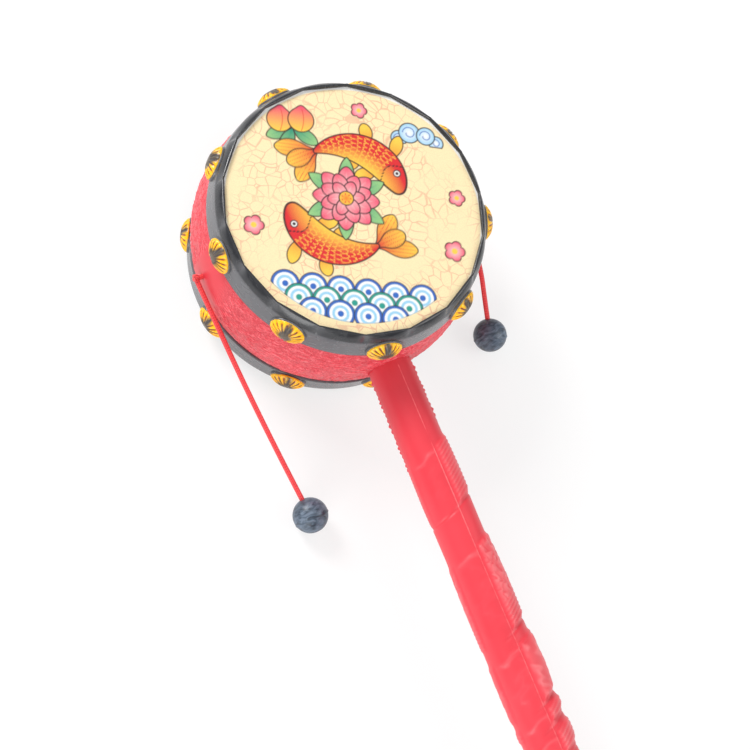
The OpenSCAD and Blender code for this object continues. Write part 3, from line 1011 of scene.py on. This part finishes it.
def layered_waves(plate):
    """Rows of round waves along the lower edge, each over the row above"""
    wave_radius = 4.6
    lower_edge = np.hypot(plate["u"], plate["v"]) - 39.2
    for high, deep, spots in ((-28.5, blue_ink, (-22.5, -13.5, -4.5, 4.5, 13.5, 22.5)),
                              (-32.6, teal_ink, (-18, -9, 0, 9, 18)),
                              (-36.7, blue_ink, (-13.5, -4.5, 4.5, 13.5))):
        for spot in spots:
            rho = from_spot(plate, (spot, high))[0]
            inside = np.maximum(rho - wave_radius, lower_edge)
            outlined(plate, inside, deep, 0.14)
            for radius, ink in ((3.7, paper_white), (2.8, sky_ink), (1.9, paper_white), (1.0, deep)):
                lay(plate, soft_edge(np.maximum(rho - radius, inside)), ink)


def rolled_cloud(plate, spot, size):
    """A flat-bottomed cloud of round rolls with a curl in each"""
    flat = spot[1] - 1.6 * size - plate["v"]
    for across, up, roll in ((-6.0, 0.0, 2.6), (6.2, -0.2, 2.4), (-2.6, 2.2, 3.4), (2.8, 1.8, 3.0)):
        rho, theta = from_spot(plate, (spot[0] + across * size, spot[1] + up * size))
        radius = roll * size
        outlined(plate, np.maximum(rho - radius, flat), graded(rho / radius, paper_white, sky_ink))
        curl = np.abs(rho - radius * (0.30 + 0.055 * (theta + math.pi))) - 0.16
        lay(plate, soft_edge(np.maximum(curl, flat + 0.4)), blue_ink)


def peach_pair(plate, spot):
    """Two ripe peaches on their leaves"""
    for angle in (205, 250, 330):
        pointed_petal(plate, (spot[0] + 1.0, spot[1] - 2.0), angle, 9.5, 2.3, leaf_ink, lime_ink)
    for across, up in ((-3.4, 0.4), (3.6, 1.2)):
        rho, theta = from_spot(plate, (spot[0] + across, spot[1] + up))
        high = rho * np.sin(theta)
        outline = 4.3 + 0.9 * np.exp(-((theta - math.pi / 2) / 0.32) ** 2)
        outlined(plate, rho - outline, graded((high + 4.0) / 8.5, gold_ink, rose_ink))
        crease = np.abs(rho * np.cos(theta) - 0.9 + 0.045 * high ** 2) - 0.13
        lay(plate, 0.8 * soft_edge(np.maximum(crease, rho - 3.9)), red_ink)


def small_blossom(plate, spot, radius):
    """Five round petals and a gold middle"""
    rho, theta = from_spot(plate, spot)
    reach = radius * (0.74 + 0.26 * np.abs(np.cos(2.5 * theta)) ** 0.7)
    outlined(plate, rho - reach, graded(rho / radius, blush_ink, rose_ink))
    lay(plate, soft_edge(rho - 0.28 * radius), gold_ink)


def printed_design(across, up):
    """Ink and bare ground at every point of a skin, in millimetres"""
    tilt = math.radians(-23.4)
    middle = (-3.0, 3.0)
    plate = {"u": across * math.cos(tilt) + up * math.sin(tilt),
             "v": up * math.cos(tilt) - across * math.sin(tilt),
             "ink": np.tile(np.array(paper_white), (len(across), 1))}
    printed = soft_edge(np.hypot(across + 0.2, up + 0.62) - 42.6)
    lay(plate, printed, cream)
    layered_waves(plate)
    rolled_cloud(plate, (21.0, 27.0), 1.05)
    peach_pair(plate, (-22.0, 27.5))
    for u, v, radius in ((-33.0, -10.0, 3.4), (33.5, -11.0, 3.6), (34.5, 8.0, 2.9), (1.0, 35.0, 2.8)):
        small_blossom(plate, (u, v), radius)
    for nose in (200, 20):
        circling_fish(plate, middle, nose)
    lotus(plate, middle)
    plate["ground"] = printed * (np.abs(plate["ink"] - np.array(cream)).sum(axis=1) < 0.02)
    return plate


def round_grid(count):
    """A square grid pressed into a disc of radius 1, even all over"""
    line = np.linspace(-1.0, 1.0, count)
    a, b = np.meshgrid(line, line, indexing="ij")
    wide = np.abs(a) >= np.abs(b)
    safe_a = np.where(a == 0, 1.0, a)
    safe_b = np.where(b == 0, 1.0, b)
    reach = np.where(wide, a, b)
    turn = np.where(wide, math.pi / 4 * b / safe_a, math.pi / 2 - math.pi / 4 * a / safe_b)
    return (reach * np.cos(turn)).ravel(), (reach * np.sin(turn)).ravel()


def printed_skin(end, top, facing, plate, across, up, count):
    """One skin: a thin disc whose outer face carries the print"""
    grid = np.arange(count * count).reshape(count, count)
    rim = np.concatenate([grid[:, 0], grid[-1, 1:], grid[-2::-1, -1], grid[0, -2:0:-1]]).tolist()
    shown = grid.size
    around = len(rim)
    outer = np.stack([across * facing, up, np.full(shown, top)], axis=1)
    points = np.concatenate([outer, outer[rim] - np.array([0.0, 0.0, facing * skin_thick])])
    quads = np.stack([grid[:-1, :-1], grid[1:, :-1], grid[1:, 1:], grid[:-1, 1:]], axis=-1)
    faces = quads.reshape(-1, 4).tolist()
    for k in range(around):
        n = (k + 1) % around
        faces.append((rim[k], shown + k, shown + n, rim[n]))
    faces.append(range(shown, shown + around))
    skin = shown_piece("printed_skin_" + end, points, faces, printed_sheet)
    layer = skin.data.attributes.new("ink", "FLOAT_COLOR", "POINT")
    shade = np.ones((len(points), 4))
    shade[:shown, :3] = plate["ink"]
    shade[shown:, :3] = paper_white
    layer.data.foreach_set("color", shade.astype(np.float32).ravel())
    float_layer(skin, "ground", np.append(plate["ground"], np.zeros(around)))
    fitted(outward(skin), "drum", "printed_skin", end + "_skin")


def both_skins():
    """The front and the rear skin carry the same design"""
    count = 305
    across, up = (line * end_radius for line in round_grid(count))
    plate = printed_design(across * 1000, up * 1000)
    printed_skin("front", skin_top, 1, plate, across, up, count)
    printed_skin("rear", drum_height - skin_top, -1, plate, across, up, count)


both_skins()


# Floor, light and camera

def pale_floor():
    """A white sheet under the drum that keeps a faint shadow and curves up far behind it"""
    profile = np.array(((5.0, 0.0), (12.0, 0.0), (13.2, 0.06), (14.2, 0.24), (15.0, 0.55), (15.5, 0.95)))
    turn = full_turn(96)
    points = turned_points(profile[:, :1], profile[:, 1:], turn)
    faces = loft_faces(len(profile), turn.size) + [tuple(range(turn.size))]
    material, tree, shader = finish_named("studio_white")
    fill(tree, shader, Base_Color=(0.92, 0.92, 0.92), Roughness=0.9)
    rays = node(tree, "ShaderNodeLightPath").outputs
    mirrored = sums(tree, "MAXIMUM", rays["Is Glossy Ray"], rays["Is Transmission Ray"])
    seen = sums(tree, "MAXIMUM", rays["Is Camera Ray"], mirrored)
    white = node(tree, "ShaderNodeEmission", Strength=1.0)
    glow = sums(tree, "MULTIPLY", seen, 0.7)
    mix = node(tree, "ShaderNodeMixShader", glow, shader.outputs["BSDF"], white.outputs["Emission"])
    fill(tree, tree.nodes["Material Output"], Surface=mix.outputs["Shader"])
    floor = outward(shown_piece("studio_floor", points, faces, material))


def soft_lamp(name, place, target, size, power):
    """A square soft box"""
    lamp = bpy.data.lights.new(name, "AREA")
    lamp.shape = "SQUARE"
    lamp.size = size
    lamp.energy = power
    holder = placed(name, lamp)
    holder.location = place
    holder.rotation_euler = (Vector(target) - Vector(place)).to_track_quat("-Z", "Y").to_euler()


def studio():
    """World light, three soft boxes and the photograph's camera"""
    scene = bpy.context.scene
    world = bpy.data.worlds.new("studio_world")
    scene.world = world
    world.use_nodes = True
    tree = world.node_tree
    split = node(tree, "ShaderNodeSeparateXYZ", node(tree, "ShaderNodeTexCoord").outputs["Generated"])
    sky = ramp(tree, split.outputs["Z"], (0.0, 0.20), (0.22, 0.24), (0.55, 0.85), (1.0, 0.95))
    fill(tree, tree.nodes["Background"], Color=sky, Strength=0.58)
    middle = (0.0, -0.04, 0.02)
    soft_lamp("key_box", (-0.36, 0.74, 0.62), middle, 0.42, 9.5)
    soft_lamp("fill_box", (0.6, -0.45, 0.6), middle, 0.6, 3.6)
    soft_lamp("low_box", (-0.55, -0.6, 0.3), middle, 0.5, 4.0)
    scene.view_settings.view_transform = "Standard"
    lens = bpy.data.cameras.new("photo_camera")
    lens.lens = 77.6
    lens.sensor_width = 36.0
    lens.clip_start = 0.01
    camera = placed("photo_camera", lens)
    stand = Vector((-0.2036, -0.1472, 0.5069))
    aim = Vector((-0.0059, -0.0488, 0.026))
    turn = (aim - stand).to_track_quat("-Z", "Y") @ Quaternion((0.0, 0.0, 1.0), math.radians(42.9))
    camera.location = stand
    camera.rotation_euler = turn.to_euler()
    scene.camera = camera


pale_floor()
studio()
